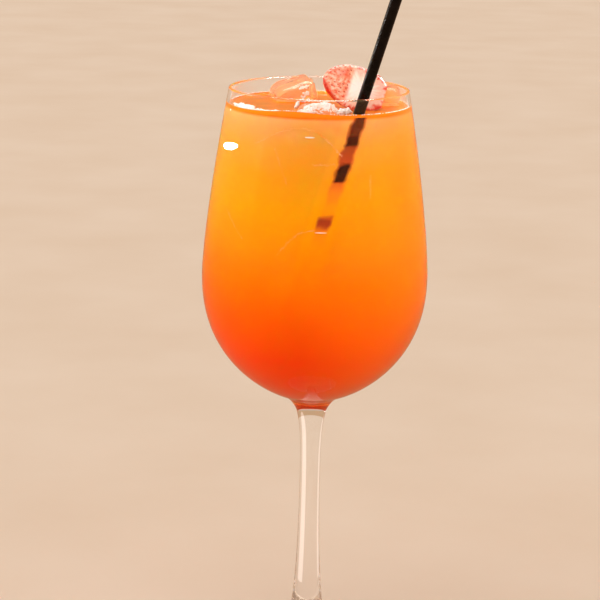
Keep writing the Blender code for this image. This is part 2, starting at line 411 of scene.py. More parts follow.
# %% [markdown]
# The glass is one drawn piece: bowl, stem and foot. The ring outline starts at the bottom
# of the inside, runs up the inner wall, over a fire-polished lip that is a half circle,
# down the outer side, along the stem, which flares at both ends, and out over the foot.
# %% The glass
STEM_RADIUS = 0.0039
STEM_TOP = 0.105
STEM_TOP_FLARE = 0.0021
STEM_TOP_REACH = 0.0075
STEM_FOOT = 0.024
STEM_FOOT_FLARE = 0.0022
STEM_FOOT_REACH = 0.020
BOWL_MEETS_STEM_RADIUS = 0.012
BOWL_HANDLE = Vector((-0.0035, -0.0012))
NECK_HANDLE = Vector((0.0012, 0.0030))
FOOT_RADIUS = 0.040
FOOT_EDGE_HEIGHT = 0.0020
FOOT_SLOPE = Vector((0.028, 0.0033))
STEM_HANDLE = Vector((0.0014, -0.0132))
SLOPE_HANDLE = Vector((-0.0162, 0.0016))
UNDERSIDE_RADII = (0.032, 0.020, 0.008, 0.002)
LIP_ANGLES = range(170, 9, -20)
EDGE_ANGLES = range(90, -91, -20)
STEM_ROWS = 26
NECK_ROWS = 10
FLARE_ROWS = 16


def arc(centre, radius, angles):
    """Points on a circle in the outline's plane, at angles in degrees."""
    turns = [math.radians(angle) for angle in angles]
    return [centre + Vector((math.cos(turn), math.sin(turn))) * radius for turn in turns]


def bezier(start, first_handle, last_handle, end, rows):
    """Points of a smooth curve between two points, without its ends."""
    points = []
    for row in range(1, rows + 1):
        t = row / (rows + 1)
        s = 1 - t
        handles = 3 * s * s * t * first_handle + 3 * s * t * t * last_handle
        points.append(s**3 * start + handles + t**3 * end)
    return points


def stem_radius(height):
    """The stem's radius, which grows towards both of its ends."""
    top_flare = STEM_TOP_FLARE * math.exp((height - STEM_TOP) / STEM_TOP_REACH)
    foot_flare = STEM_FOOT_FLARE * math.exp((STEM_FOOT - height) / STEM_FOOT_REACH)
    return STEM_RADIUS + top_flare + foot_flare


def stem_and_foot(bowl_end):
    """Points from the underside of the bowl down the stem and over the foot."""
    stem = []
    for row in range(STEM_ROWS + 1):
        height = STEM_TOP + (STEM_FOOT - STEM_TOP) * row / STEM_ROWS
        stem.append(Vector((stem_radius(height), height)))
    neck = bezier(bowl_end, bowl_end + BOWL_HANDLE, stem[0] + NECK_HANDLE, stem[0], NECK_ROWS)
    slope_handle = FOOT_SLOPE + SLOPE_HANDLE
    flare = bezier(stem[-1], stem[-1] + STEM_HANDLE, slope_handle, FOOT_SLOPE, FLARE_ROWS)
    half = FOOT_EDGE_HEIGHT / 2
    edge = arc(Vector((FOOT_RADIUS - half, half)), half, EDGE_ANGLES)
    underside = [Vector((radius, 0.0)) for radius in UNDERSIDE_RADII]
    return neck + stem + flare + [FOOT_SLOPE] + edge + underside


inner = [point for point in inside_outline()[1:] if point.x > MM]
outer = [point for point in bowl_outline()[1:] if point.x > BOWL_MEETS_STEM_RADIUS]
lip = arc(Vector((RIM_RADIUS - WALL / 2, GLASS_HEIGHT - WALL / 2)), WALL / 2, LIP_ANGLES)
goblet = extrude_rings(inner[::-1] + lip + outer + stem_and_foot(outer[-1]))
close_and_turn_out(goblet)
shade_round(goblet, 60)
finish_piece(goblet, "goblet", "glass")

# %% [markdown]
# Soda-lime glass, blown and fire-polished: no colour of its own, a refractive index of 1.5
# and no roughness, so the eye sees only what it bends and mirrors. Light has to reach the
# juice through it. Path tracing finds no way for that through a bending surface, so a
# shadow ray meets a clear shader in its place, which is the usual trick for glass. The
# glass mirrors in a grey, a painted shade that stands for a room darker than a studio: a
# dim one where juice stands behind it, nearly black under the bowl, where it stands for the
# table's shadow, and white on the lip.
# %% Clear glass
def open_to_lamps(tree, shader, colour="#FFFFFF"):
    """Ends a finish in a shader for the eye, and a clear one that shadow rays meet."""
    is_shadow = node(tree, "LightPath").outputs["Is Shadow Ray"]
    open_way = node(tree, "BsdfTransparent", {"Color": colour})
    both = node(tree, "MixShader", {0: is_shadow, 1: shader, 2: open_way})
    node(tree, "OutputMaterial", {"Surface": both})


# The grey mirror colours are painted shade on what the glass mirrors.
GLASS_FINISHES = {
    "soda_lime_glass": "#B4ACA4",
    "soda_lime_glass_over_juice": "#958A7C",
    "fire_polished_lip": "#FFFFFF",
    "soda_lime_glass_under_the_bowl": "#2E2A26",
}
BARE_PART, JUICE_PART, LIP_PART, UNDERSIDE_PART = range(4)
LIP_FROM = 0.2349
BARE_ABOVE = 0.2312
UNDERSIDE_BELOW = 0.1310
BARE_BELOW = 0.1085


def glass_part(height):
    """Which part of the glass is at a height."""
    if height > LIP_FROM:
        return LIP_PART
    if not BARE_BELOW < height < BARE_ABOVE:
        return BARE_PART
    return UNDERSIDE_PART if height < UNDERSIDE_BELOW else JUICE_PART


for name, mirror_colour in GLASS_FINISHES.items():
    glass, tree = new_finish(name)
    solid = node(tree, "BsdfPrincipled", {
        "Base Color": "#FFFFFF", "IOR": 1.5, "Roughness": 0.0, "Transmission Weight": 1.0,
        "Specular Tint": mirror_colour,
    })
    open_to_lamps(tree, solid)
    goblet.data.materials.append(glass)
for face in goblet.data.polygons:
    face.material_index = glass_part(face.center.z)
print("finishes of the glass:", len(goblet.data.materials))

# %% [markdown]
# The straw is a thin black polypropylene tube, extruded and cut square. Its outline runs
# up the bore, over the top edge, down the outside and under the lower edge, and the tube
# is then leaned over onto the rim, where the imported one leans.
# %% The straw
STRAW_LENGTH = 0.210
STRAW_RADIUS = 0.0021
STRAW_WALL = 0.00025
STRAW_AT_RIM = Vector((0.01665, -0.02668, GLASS_HEIGHT))
STRAW_LEAN = math.radians(26.8)
STRAW_TIP_HEIGHT = 0.124
STRAW_SIDES = 48
STRAW_ROWS = 30
CUT_EDGE = 0.08 * MM

heading = math.atan2(STRAW_AT_RIM.y, STRAW_AT_RIM.x)
straw_way = Vector((
    math.sin(STRAW_LEAN) * math.cos(heading),
    math.sin(STRAW_LEAN) * math.sin(heading),
    math.cos(STRAW_LEAN),
))
straw_tip = STRAW_AT_RIM - straw_way * (GLASS_HEIGHT - STRAW_TIP_HEIGHT) / straw_way.z
bore = STRAW_RADIUS - STRAW_WALL
heights = [CUT_EDGE + (STRAW_LENGTH - 2 * CUT_EDGE) * row / STRAW_ROWS for row in range(STRAW_ROWS + 1)]
tube = [(bore, height) for height in heights]
tube += [(bore + CUT_EDGE, STRAW_LENGTH), (STRAW_RADIUS - CUT_EDGE, STRAW_LENGTH)]
tube += [(STRAW_RADIUS, height) for height in reversed(heights)]
tube += [(STRAW_RADIUS - CUT_EDGE, 0.0), (bore + CUT_EDGE, 0.0), tube[0]]
straw = extrude_rings(tube, STRAW_SIDES)
close_and_turn_out(straw, 0.002 * MM)
lean = straw_way.to_track_quat("Z", "Y").to_matrix().to_4x4()
straw.matrix_world = Matrix.Translation(straw_tip) @ lean
bpy.ops.object.transform_apply(location=True, rotation=True, scale=True)
shade_round(straw, 35)
finish_piece(straw, "black_straw", "straw")

# %% [markdown]
# Black polypropylene from an extruder: smooth, with a satin gloss that is broken along the
# tube by the faint lines of the die, and a few dull marks from handling.
# %% Black plastic
polypropylene, tree = new_finish("extruded_black_polypropylene")
place = node(tree, "TexCoord").outputs["Object"]
marks = node(tree, "TexNoise", {"Vector": place, "Scale": 260.0, "Detail": 3.0})
tone = node(tree, "ValToRGB", {"Fac": marks}, stops=[(0.35, "#070505"), (0.75, "#120D0B")])
dull = node(tree, "MapRange", {
    "Value": marks, "From Min": 0.3, "From Max": 0.7, "To Min": 0.22, "To Max": 0.34,
})
plastic = node(tree, "BsdfPrincipled", {
    "Base Color": tone, "Roughness": dull, "IOR": 1.49, "Specular IOR Level": 0.12,
})
node(tree, "OutputMaterial", {"Surface": plastic})
straw.data.materials.append(polypropylene)
print("finish of the straw:", polypropylene.name)

# %% [markdown]
# The ice cubes have melted a little: their edges are round, no face is quite flat, and the
# top is smaller than the foot, as it comes out of the mould. A cube primitive gets its top
# face scaled in, its edges bevelled, and an even fine mesh from a voxel remesh. Small moves
# of the vertices along slow noise then make the shallow hollows that water leaves. The one
# at the back has melted most, and its left side has sunk.
# %% Ice cubes
ICE_CUBES = {
    # centre, edges and turns about X, Y and Z, in millimetres and degrees, and where it has
    # melted most, how far its left side has sunk and how deep its hollows are
    "ice_cube_back": ((-10.3, 12.0, 230.2), (18.5, 18.0, 18.0), (7, -4, 18), 4.5, 0.9),
    "ice_cube_front": ((-0.5, -21.5, 224.5), (17.0, 16.5, 16.0), (-5, 6, -16)),
    "ice_cube_side": ((25.6, 4.5, 230.3), (14.0, 14.0, 13.8), (5, 7, -5)),
}
ICE_ROUNDING = 3.0 * MM
ICE_TOP_SHARE = 0.84
ICE_GRAIN = 0.5 * MM
MELT_WIDTH = 6 * MM
MELT_LEVEL = 0.3


def apply_modifier(piece, kind, **settings):
    """Adds a modifier with its settings and applies it."""
    modifier = piece.modifiers.new(kind.title(), kind)
    for name, value in settings.items():
        setattr(modifier, name, value)
    bpy.context.view_layer.objects.active = piece
    bpy.ops.object.modifier_apply(modifier=modifier.name)


def select_faces(piece, wanted):
    """In edit mode, selects the faces that the function wanted says yes to."""
    bpy.ops.mesh.select_mode(type="FACE")
    bpy.ops.mesh.select_all(action="DESELECT")
    bpy.ops.object.mode_set(mode="OBJECT")
    for face in piece.data.polygons:
        face.select = wanted(face)
    bpy.ops.object.mode_set(mode="EDIT")


def melted_cube(centre, edges, turns, slump=0.0, melt=0.35, rounding=ICE_ROUNDING, grain=ICE_GRAIN):
    """A cube of ice in its place. Slump lowers its left side, and melt is its hollows' depth."""
    bpy.ops.mesh.primitive_cube_add(size=1)
    cube = bpy.context.active_object
    cube.scale = [edge * MM for edge in edges]
    bpy.ops.object.transform_apply(scale=True)
    bpy.ops.object.mode_set(mode="EDIT")
    select_faces(cube, lambda face: face.normal.z > 0.9)
    top = edges[2] * MM / 2
    bpy.ops.transform.resize(value=(ICE_TOP_SHARE, ICE_TOP_SHARE, 1.0), center_override=(0, 0, top))
    bpy.ops.object.mode_set(mode="OBJECT")
    apply_modifier(cube, "BEVEL", width=rounding, segments=5, limit_method="NONE")
    apply_modifier(cube, "REMESH", mode="VOXEL", voxel_size=grain)
    apply_modifier(cube, "SMOOTH", factor=0.5, iterations=4)
    for vert in cube.data.vertices:
        hollow = noise.noise(vert.co / MELT_WIDTH + Vector(centre))
        height_share = vert.co.z / edges[2] / MM + 0.5
        left_share = 0.5 - vert.co.x / edges[0] / MM
        vert.co += vert.normal * melt * MM * (hollow - MELT_LEVEL)
        vert.co.z -= slump * MM * height_share * left_share
    cube.location = Vector(centre) * MM
    cube.rotation_euler = [math.radians(turn) for turn in turns]
    bpy.ops.object.transform_apply(location=True, rotation=True, scale=True)
    shade_round(cube, 80)
    return cube


ice_cubes = {}
for node_name, facts in ICE_CUBES.items():
    ice_cubes[node_name] = melted_cube(*facts)
    finish_piece(ice_cubes[node_name], "melted_" + node_name, node_name)

# %% [markdown]
# Ice from a bar's machine is clear, with a refractive index of 1.31. Its wet skin is
# smooth, and inside it veils of tiny bubbles blur what is behind and catch light. So it
# has a roughness that changes slowly, and a fifth of it is a plain pale body in place of
# clear ice, in the peach that the juice round it lends.
# %% Ice finish
bar_ice, tree = new_finish("clear_bar_ice")
place = node(tree, "TexCoord").outputs["Object"]
veils = node(tree, "TexNoise", {"Vector": place, "Scale": 150.0, "Detail": 4.0})
blur = node(tree, "MapRange", {
    "Value": veils, "From Min": 0.35, "From Max": 0.7, "To Min": 0.02, "To Max": 0.22,
})
ripple = node(tree, "Bump", {"Height": veils, "Strength": 0.5, "Distance": 0.6 * MM})
solid = node(tree, "BsdfPrincipled", {
    "Base Color": "#FFDCC4", "Roughness": blur, "IOR": 1.31, "Transmission Weight": 0.8,
    "Normal": ripple,
})
open_to_lamps(tree, solid, "#FFF3E8")
for cube in ice_cubes.values():
    cube.data.materials.append(bar_ice)
print("cubes of clear ice:", len(ice_cubes))

# %% [markdown]
# The juice fills the bowl and reaches a little way into the wall, so that no air shows
# between them. Its surface climbs the glass by a millimetre, the meniscus, and the rings are
# closest there. At the front, where a cube nearly touches the glass, it is drawn up another
# millimetre in the narrow gap. Further in the rings are close enough to carry the small
# rises round the ice and the straw.
# %% The juice
JUICE_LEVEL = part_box("drink")[1].z
INTO_WALL = 0.25 * MM
MENISCUS_RISE = 0.9 * MM
MENISCUS_REACH = 1.5 * MM
GAP_RISE = 1.2 * MM
GAP_PLACE = math.radians(-106)
GAP_SPREAD = math.radians(22)
SURFACE_STEP = 0.7 * MM
FIRST_STEPS = [0.2 * MM * 1.35**step for step in range(8)]


def meniscus(distance):
    """How far the surface climbs at a distance from what it wets."""
    return MENISCUS_RISE * math.exp(-distance / MENISCUS_REACH)


def gap_rise(x, y):
    """How much further the juice climbs between the cube and the glass."""
    return GAP_RISE * math.exp(-(((math.atan2(y, x) - GAP_PLACE) / GAP_SPREAD) ** 2))


def surface_rings(contact):
    """Rings from the wall in to the middle of the surface."""
    distances = list(FIRST_STEPS)
    while distances[-1] + SURFACE_STEP < contact.x - MM:
        distances.append(distances[-1] + SURFACE_STEP)
    return [Vector((contact.x - d, JUICE_LEVEL + meniscus(d))) for d in distances]


wall_inside = inside_outline(-INTO_WALL)
contact = rings_below(wall_inside, JUICE_LEVEL + MENISCUS_RISE)[0]
wetted = [contact] + [point for point in rings_below(wall_inside, JUICE_LEVEL) if point.x > MM]
juice = extrude_rings(wetted[::-1] + surface_rings(wetted[0]))
close_and_turn_out(juice)
for vert in juice.data.vertices:
    from_wall = max(wetted[0].x - math.hypot(vert.co.x, vert.co.y), 0.0)
    if vert.co.z > JUICE_LEVEL + 0.01 * MM:
        vert.co.z += gap_rise(vert.co.x, vert.co.y) * math.exp(-from_wall / MENISCUS_REACH)
print("juice reaches up to", round(wetted[0].y / MM, 1), "mm")

# %% [markdown]
# The surface also climbs whatever stands in it, by half a millimetre, and lies in slow,
# shallow waves between. Each vertex of the surface is lifted by its distance from the
# straw's axis and from the nearest cube. Then each cube's pocket is cut out with a Boolean,
# by a copy of the cube that is a little smaller, so that ice and juice overlap.
# %% Small rises and pockets
SMALL_RISE = 0.5 * MM
SMALL_REACH = 0.8 * MM
WAVE_DEPTH = 0.12 * MM
WAVE_WIDTH = 7 * MM
ICE_OVERLAP = 0.15 * MM


def search_tree(piece):
    """A tree that finds the nearest face of a piece, or the one that a ray meets."""
    return BVHTree.FromObject(piece, bpy.context.evaluated_depsgraph_get())


def straw_distance(point):
    """How far a point is from the straw's outside."""
    from_tip = point - straw_tip
    return (from_tip - straw_way * from_tip.dot(straw_way)).length - STRAW_RADIUS


ice_trees = [search_tree(cube) for cube in ice_cubes.values()]
for vert in juice.data.vertices:
    from_wall = wetted[0].x - math.hypot(vert.co.x, vert.co.y)
    if vert.co.z < JUICE_LEVEL - 0.1 * MM or from_wall < 0.1 * MM:
        continue
    gaps = [straw_distance(vert.co)] + [ice.find_nearest(vert.co)[3] for ice in ice_trees]
    vert.co.z += SMALL_RISE * math.exp(-max(min(gaps), 0.0) / SMALL_REACH)
    vert.co.z += WAVE_DEPTH * noise.noise(vert.co / WAVE_WIDTH) * min(from_wall / WAVE_WIDTH, 1.0)


def smaller_copy(piece, by):
    """A copy whose faces are moved in, or out by a negative distance."""
    pick(piece)
    bpy.ops.object.duplicate()
    edit_all()
    bpy.ops.transform.shrink_fatten(value=-by)
    bpy.ops.object.mode_set(mode="OBJECT")
    return bpy.context.active_object


def cut_out(piece, cutter):
    """Cuts the cutter's shape out of the piece, and removes the cutter."""
    pick(piece)
    apply_modifier(piece, "BOOLEAN", operation="DIFFERENCE", solver="EXACT", object=cutter)
    bpy.data.objects.remove(cutter, do_unlink=True)


for cube in ice_cubes.values():
    cut_out(juice, smaller_copy(cube, ICE_OVERLAP))
shade_round(juice, 60)
finish_piece(juice, "juice", "drink")

# %% [markdown]
# The juice shows five different ways, so its faces are sorted by where they are: the wall,
# the surface, the line where that climbs the glass, the pockets round the ice, and the
# front of the wall, where the juice is thin enough to see into.
# %% Parts of the juice
WALL_PART, SURFACE_PART, WATERLINE_PART, POCKET_PART, THIN_PART = range(5)
LINE_ABOVE = JUICE_LEVEL + 0.05 * MM
SURFACE_ABOVE = JUICE_LEVEL - 0.15 * MM
SURFACE_UPNESS = 0.25
POCKETS_ABOVE = JUICE_LEVEL - 20 * MM
POCKETS_IN = 2 * MM
THIN_FROM = 165 * MM
THIN_FRONT = -10 * MM


def juice_part(face):
    """Which part of the juice a face belongs to."""
    from_wall = wetted[0].x - math.hypot(face.center.x, face.center.y)
    if face.center.z > LINE_ABOVE and from_wall < MENISCUS_REACH:
        return WATERLINE_PART
    if face.center.z > SURFACE_ABOVE and face.normal.z > SURFACE_UPNESS:
        return SURFACE_PART
    if face.center.z > POCKETS_ABOVE and from_wall > POCKETS_IN:
        return POCKET_PART
    if face.center.z > THIN_FROM and face.center.y < THIN_FRONT:
        return THIN_PART
    return WALL_PART


for face in juice.data.polygons:
    face.material_index = juice_part(face)
part_of_face = [face.material_index for face in juice.data.polygons]
print("faces of the surface:", part_of_face.count(SURFACE_PART))
print("faces of the thin juice:", part_of_face.count(THIN_PART))

# %% [markdown]
# Mango and orange juice over a red syrup: cloudy, so light enters it and comes back out
# some millimetres away, which evens out the shading. The colour runs with the height, from
# a pale peach under the surface through amber and orange to the syrup's red, and soft
# wisps bend the bands, because the syrup was poured through the juice. Towards the right,
# the side turned from the light at the left, the bands are mixed to one deeper orange, a
# painted shade. Where the surface climbs, less cloud hangs in it and it looks a darker,
# clearer orange.
# %% Juice finish
JUICE_BANDS = (
    # height in mm, colour
    (112, "#FF5408"),
    (134, "#FF4F02"),
    (146, "#FF6502"),
    (156, "#FF7502"),
    (168, "#FF8B02"),
    (182, "#FFA702"),
    (196, "#FFB606"),
    (208, "#FFB622"),
    (219, "#FFBA48"),
    (229, "#FFBC74"),
    (232, "#FFBC74"),
)
PAINTED_LIGHT_COLOUR = "#FFF0C8"
POCKET_PAINTED_LIGHT_COLOUR = "#FFD6A0"
RIGHT_SHADE_COLOUR = "#FF8A14"
RIGHT_SHARE = 0.5
RIGHT_START = -5 * MM
RIGHT_END = 34 * MM
WATERLINE_COLOUR = "#F5820C"
WATERLINE_START = 228.1 * MM
WATERLINE_END = 229.0 * MM
WISP_SCALE = 22.0
WISP_DEPTH = 14 * MM
JUICE_SPREAD = (1.0, 0.35, 0.08)
JUICE_SPREAD_SCALE = 8 * MM


def juice_colour(tree):
    """The juice's colour at each place in the glass."""
    place = node(tree, "TexCoord").outputs["Object"]
    to_right, _, up = node(tree, "SeparateXYZ", {"Vector": place}).outputs
    wisps = node(tree, "TexNoise", {
        "Vector": place, "Scale": WISP_SCALE, "Detail": 2.0, "Distortion": 0.6,
    })
    bend = node(tree, "Math", {0: wisps, 1: WISP_DEPTH, 2: -WISP_DEPTH / 2}, operation="MULTIPLY_ADD")
    height = node(tree, "Math", {0: up, 1: bend}, operation="ADD")
    lowest, highest = JUICE_BANDS[0][0] * MM, JUICE_BANDS[-1][0] * MM
    share = node(tree, "MapRange", {"Value": height, "From Min": lowest, "From Max": highest})
    stops = [((mm * MM - lowest) / (highest - lowest), colour) for mm, colour in JUICE_BANDS]
    bands = node(tree, "ValToRGB", {"Fac": share}, stops=stops)
    # Towards the right the bands are painted a deeper orange: painted shade of the side turned from the
    # light.
    right_shade_share = node(tree, "MapRange", {
        "Value": to_right, "From Min": RIGHT_START, "From Max": RIGHT_END, "To Max": RIGHT_SHARE,
    })
    shaded_to_the_right = node(tree, "Mix", {"Factor": right_shade_share, "A": bands, "B": RIGHT_SHADE_COLOUR}, data_type="RGBA")
    climbing = node(tree, "MapRange", {
        "Value": up, "From Min": WATERLINE_START, "From Max": WATERLINE_END,
    })
    line = {"Factor": climbing, "A": shaded_to_the_right, "B": WATERLINE_COLOUR}
    return node(tree, "Mix", line, data_type="RGBA")


def cloudy_juice(name, shine, cloud, colour=None, paler=0.0):
    """Juice with a shine on its surface and a cloud that light spreads in. Its colour can be given, and
    a share of painted light mixes it towards a pale one.
    """
    material, tree = new_finish(name)
    colour = colour or juice_colour(tree)
    if paler:
        colour = node(tree, "Mix", {"Factor": paler, "A": colour, "B": PAINTED_LIGHT_COLOUR}, data_type="RGBA")
    body = node(tree, "BsdfPrincipled", {
        "Base Color": colour, "Roughness": 0.05, "IOR": 1.34, "Specular IOR Level": shine,
        "Subsurface Weight": cloud, "Subsurface Radius": JUICE_SPREAD,
        "Subsurface Scale": JUICE_SPREAD_SCALE,
    })
    node(tree, "OutputMaterial", {"Surface": body})
    return material


juice.data.materials.append(cloudy_juice("cloudy_juice_at_the_wall", 0.0, 1.0))
juice.data.materials.append(cloudy_juice("cloudy_juice_surface", 0.1, 1.0))
juice.data.materials.append(cloudy_juice("juice_waterline", 0.5, 0.0))
# The pockets round the ice are painted in a lighter colour: painted light for the light that hardly
# reaches into them.
juice.data.materials.append(cloudy_juice("juice_round_the_ice", 0.0, 0.0, POCKET_PAINTED_LIGHT_COLOUR))
print("juice bands:", len(JUICE_BANDS))

# %% [markdown]
# More ice is sunk in the juice, against the glass: large cubes that have melted round. Each
# is a cube with wide bevels, and where it would stand closer to the glass than a hair's
# breadth its vertices are drawn in, so that its side follows the wall as melting ice does.
# %% Sunk ice
SUNK_CUBES = (
    # centre, edges and turns about X, Y and Z in degrees
    ((-5.5, -23.0, 207.5), (38.0, 28.0, 36.0), (0, 5, 0)),
    ((1.0, -27.0, 172.5), (34.0, 26.0, 31.0), (0, -8, 4)),
    ((30.0, -14.0, 200.0), (19.0, 26.0, 25.0), (0, -4, 30)),
    ((-33.0, -14.0, 178.0), (18.0, 24.0, 26.0), (0, 10, -35)),
)
SUNK_ROUNDING = 8.0 * MM
SUNK_GRAIN = 0.8 * MM
SUNK_GAP = 0.4 * MM

gap_outline = inside_outline(SUNK_GAP)[::-1]
gap_heights = [point.y for point in gap_outline]
gap_radii = [point.x for point in gap_outline]
sunk_ice = []
for facts in SUNK_CUBES:
    cube = melted_cube(*facts, rounding=SUNK_ROUNDING, grain=SUNK_GRAIN)
    for vert in cube.data.vertices:
        radius = math.hypot(vert.co.x, vert.co.y)
        widest = numpy.interp(vert.co.z, gap_heights, gap_radii)
        if radius > widest:
            vert.co.x *= widest / radius
            vert.co.y *= widest / radius
    finish_piece(cube, "sunk_ice_" + str(len(sunk_ice) + 1), None)
    sunk_ice.append(cube)
print("sunk cubes:", len(sunk_ice), "with", sum(len(cube.data.polygons) for cube in sunk_ice), "faces")

# %% [markdown]
# Ice that is sunk shows the juice behind it: a clearer, deeper orange. Its rounded edges,
# where it turns away from the glass, send the light back and look pale. So its body takes
# the juice's own colour, deepened, and a white painted highlight where its surface is
# turned aside.
# %% Sunk ice finish
DEEPER = "#FF8A10"
DEEPER_SHARE = 0.35
EDGE_HIGHLIGHT_COLOUR = "#FFFFFF"
EDGE_HIGHLIGHT_STOPS = [(0.60, "#000000"), (0.72, "#FFFFFF"), (0.88, "#FFFFFF"), (0.96, "#000000")]

sunk_finish, tree = new_finish("ice_in_juice")
place = node(tree, "TexCoord").outputs["Object"]
colours = {"Factor": DEEPER_SHARE, "A": juice_colour(tree), "B": DEEPER}
deepened = node(tree, "Mix", colours, data_type="RGBA")
outwards = node(tree, "VectorMath", {0: place, 1: (1.0, 1.0, 0.0)}, operation="MULTIPLY")
radial = node(tree, "VectorMath", {0: outwards}, operation="NORMALIZE")
normal = node(tree, "NewGeometry").outputs["Normal"]
facing = node(tree, "VectorMath", {0: radial, 1: normal}, operation="DOT_PRODUCT")
# Painted highlight: where the surface turns aside from the glass, the colour goes white.
edge = node(tree, "ValToRGB", {"Fac": facing}, stops=EDGE_HIGHLIGHT_STOPS)
painted_edge_highlights = node(tree, "Mix", {"Factor": edge, "A": deepened, "B": EDGE_HIGHLIGHT_COLOUR}, data_type="RGBA")
body = node(tree, "BsdfPrincipled", {
    "Base Color": painted_edge_highlights, "Roughness": 0.12, "IOR": 1.31, "Subsurface Weight": 1.0,
    "Subsurface Radius": JUICE_SPREAD, "Subsurface Scale": 3 * MM,
})
node(tree, "OutputMaterial", {"Surface": body})
for cube in sunk_ice:
    cube.data.materials.append(sunk_finish)
print("finish of the sunk ice:", sunk_finish.name)

# %% [markdown]
# Close to the glass the juice is thin enough to see a little way in. So behind its front
# lies a second, opaque body of juice, three millimetres in from the wall. The sunk ice
# stands out of it, and a slot is cut into both from the wall back to the straw, because
# the straw shows where clear ice or thin juice lies in front of it. The pockets of the three
# standing cubes are cut out of it too, a little wider than in the juice itself.
# %% The juice behind
CORE_DEPTH = 3.0 * MM
CORE_DROP = 1.2 * MM
POCKET_MARGIN = 0.6 * MM
SLOT_TOP = 232 * MM
SLOT_BOTTOM = 173 * MM
SLOT_HALF = 4.0 * MM
SLOT_FRONT = -50 * MM
TRACK_TOP = Vector((15.2 * MM, 228.7 * MM))
TRACK_LEAN = 0.325


def track_x(height):
    """Where the straw shows on the wall at a height."""
    return TRACK_TOP.x + TRACK_LEAN * (height - TRACK_TOP.y)


core_rings = rings_below(inside_outline(CORE_DEPTH), JUICE_LEVEL - CORE_DROP)
core = extrude_rings([point for point in core_rings if point.x > MM][::-1])
close_and_turn_out(core)
bpy.ops.mesh.primitive_cube_add(size=2)
straw_slot = bpy.context.active_object
for vert in straw_slot.data.vertices:
    height = SLOT_TOP if vert.co.z > 0 else SLOT_BOTTOM
    side = SLOT_HALF if vert.co.x > 0 else -SLOT_HALF
    in_straw = straw_tip + straw_way * ((height - straw_tip.z) / straw_way.z)
    if vert.co.y > 0:
        vert.co = (in_straw.x + side, in_straw.y, height)
    else:
        vert.co = (track_x(height) + side, SLOT_FRONT, height)
for cube in sunk_ice[:2]:
    cut_out(cube, smaller_copy(straw_slot, 0.0))
cut_out(core, straw_slot)
for cube in ice_cubes.values():
    cut_out(core, smaller_copy(cube, -POCKET_MARGIN))
shade_round(core, 60)
finish_piece(core, "juice_behind", None)
# The juice behind is painted lighter than the juice in front: painted light for the little light that
# reaches it there.
core.data.materials.append(cloudy_juice("cloudy_juice_behind", 0.0, 1.0, paler=0.4))

# %% [markdown]
# The front of the juice lets a little of the view through to the sunk ice. Along the straw's
# line it is clearer, in patches: fairly clear under the surface, nearly black where ice
# touches both glass and straw, and veiled or shut between. Noise makes the patches uneven.
# In front of the straw the juice is painted redder, down to below the second patch, where
# the straw itself is no longer seen: a painted shade of the straw behind the cloudy juice.
# %% Thin juice
THIN_SHARE = 0.16
STRAW_SHADE_COLOUR = "#EC5C34"
STRAW_SHOWS = (
    # height in mm, how clearly the straw shows there, how red its painted shade makes the juice in
    # front
    (181.0, 0.0, 0.0),
    (187.2, 0.0, 0.2),
    (189.4, 0.52, 0.9),
    (191.2, 0.60, 0.9),
    (193.4, 0.0, 0.1),
    (196.0, 0.0, 0.1),
    (202.0, 0.02, 0.42),
    (205.4, 0.15, 0.65),
    (206.4, 0.95, 0.9),
    (211.6, 0.97, 0.9),
    (213.0, 0.40, 0.85),
    (218.2, 0.58, 0.8),
    (219.2, 0.95, 0.8),
    (221.8, 0.95, 0.8),
    (222.8, 0.86, 0.75),
    (231.0, 0.88, 0.7),
)
TRACK_CLEAR = 1.7 * MM
TRACK_SHUT = 3.1 * MM
EDGE_SHIFT = 2.8 * MM
FADE_SIDE = {"From Min": THIN_FRONT - 4 * MM, "From Max": THIN_FRONT - 14 * MM}
FADE_LOW = {"From Min": THIN_FROM + 1 * MM, "From Max": THIN_FROM + 8 * MM}
OFF_SLOT = {"From Min": SLOT_HALF + 0.5 * MM, "From Max": SLOT_HALF + 3 * MM, "To Max": THIN_SHARE}

thin_juice, tree = new_finish("thin_juice_at_the_front")
place = node(tree, "TexCoord").outputs["Object"]
to_right, back, up = node(tree, "SeparateXYZ", {"Vector": place}).outputs
uneven = node(tree, "TexNoise", {"Vector": place, "Scale": 230.0, "Detail": 2.0})
shift = node(tree, "Math", {0: uneven, 1: EDGE_SHIFT, 2: -EDGE_SHIFT / 2}, operation="MULTIPLY_ADD")
track = node(tree, "Math", {0: up, 1: TRACK_LEAN, 2: track_x(0)}, operation="MULTIPLY_ADD")
past_track = node(tree, "Math", {0: to_right, 1: track}, operation="SUBTRACT")
aside = node(tree, "Math", {0: past_track}, operation="ABSOLUTE")
wavy_aside = node(tree, "Math", {0: aside, 1: shift}, operation="ADD")
near_track = node(tree, "MapRange", {
    "Value": wavy_aside, "From Min": TRACK_SHUT, "From Max": TRACK_CLEAR,
})
wavy_height = node(tree, "Math", {0: up, 1: shift}, operation="ADD")
lowest, highest = STRAW_SHOWS[0][0], STRAW_SHOWS[-1][0]
along = node(tree, "MapRange", {
    "Value": wavy_height, "From Min": lowest * MM, "From Max": highest * MM,
})
on_track = []
for column in (1, 2):
    stops = [((row[0] - lowest) / (highest - lowest), (*[row[column]] * 3, 1)) for row in STRAW_SHOWS]
    share = node(tree, "ValToRGB", {"Fac": along}, stops=stops)
    on_track.append(node(tree, "Math", {0: near_track, 1: share}, operation="MULTIPLY"))
straw_shows, straw_shade = on_track
side_share = node(tree, "MapRange", {"Value": back, **FADE_SIDE})
low_share = node(tree, "MapRange", {"Value": up, **FADE_LOW})
slot_share = node(tree, "MapRange", {"Value": aside, **OFF_SLOT})
faded = node(tree, "Math", {0: side_share, 1: low_share}, operation="MULTIPLY")
